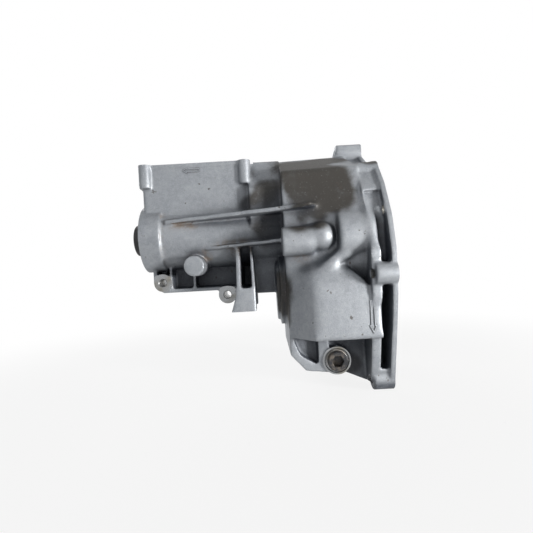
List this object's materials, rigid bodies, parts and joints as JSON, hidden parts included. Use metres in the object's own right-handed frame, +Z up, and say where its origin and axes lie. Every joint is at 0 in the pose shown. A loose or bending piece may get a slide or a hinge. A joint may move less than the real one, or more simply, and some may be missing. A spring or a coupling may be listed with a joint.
{
  "type": "transmission extension housing",
  "caption": "Cast aluminium tail housing of a rear-drive manual gearbox, with shifter tower, output seal, drain plug and mount pads.",
  "frame": {"origin": "where the output shaft's axis meets the front mating face", "axes": "+X forwards, out of the front mating face; +Y the vehicle's left; +Z up, towards the shifter"},
  "size_m": [0.3005, 0.2214, 0.3074],
  "materials": {
    "cast_aluminium": "as cast, with machined faces",
    "bronze": "turned",
    "plated_steel": "zinc plated",
    "dark_steel": "blackened and oily",
    "bearing_steel": "ground",
    "spring_steel": "oiled",
    "soft_aluminium": "soft washer",
    "black_rubber": "matt",
    "black_plastic": "moulded",
    "magnet": "sintered"
  },
  "bodies": {
    "root": {"extension_housing": "cast_aluminium", "yoke_bushing": "bronze", "seal_shell": "plated_steel", "seal_lip": "black_rubber", "garter_spring": "spring_steel", "dust_boot": "black_rubber", "countershaft_shim": "spring_steel", "countershaft_bearing_cup": "bearing_steel", "rail_bore_plug": "plated_steel", "speed_sensor": "black_plastic", "speed_sensor_oring": "black_rubber", "speed_sensor_bolt": "plated_steel", "lockout_cap": "plated_steel", "lockout_cap_washer": "soft_aluminium", "lockout_spring": "spring_steel", "sump_magnet": "magnet", "rail_bushing_front": "bronze", "rail_bushing_rear": "bronze"},
    "plug_travel": {"drain_plug_washer": "soft_aluminium"},
    "plug": {"drain_plug": "dark_steel", "drain_plug_magnet": "magnet"},
    "plunger": {"lockout_plunger": "bearing_steel"}
  },
  "joints": [
    {"name": "drain_plug_out", "type": "slide", "parent": "root", "child": "plug_travel", "axis": [0, -1, 0], "range_m": [0, 0.012]},
    {"name": "drain_plug_turn", "type": "hinge", "parent": "plug_travel", "child": "plug", "pos_m": [-0.0615, -0.058, -0.154], "axis": [0, -1, 0], "range_deg": [0, 2880]},
    {"name": "lockout_push", "type": "slide", "parent": "root", "child": "plunger", "axis": [0, 1, 0], "range_m": [0, 0.008], "stiffness_N_per_m": 900, "springref_m": -0.004, "deforming": ["lockout_spring"]}
  ],
  "couplings": [
    {"joint": "drain_plug_out", "follows": "drain_plug_turn", "m_per_rad": 0.00023873}
  ]
}
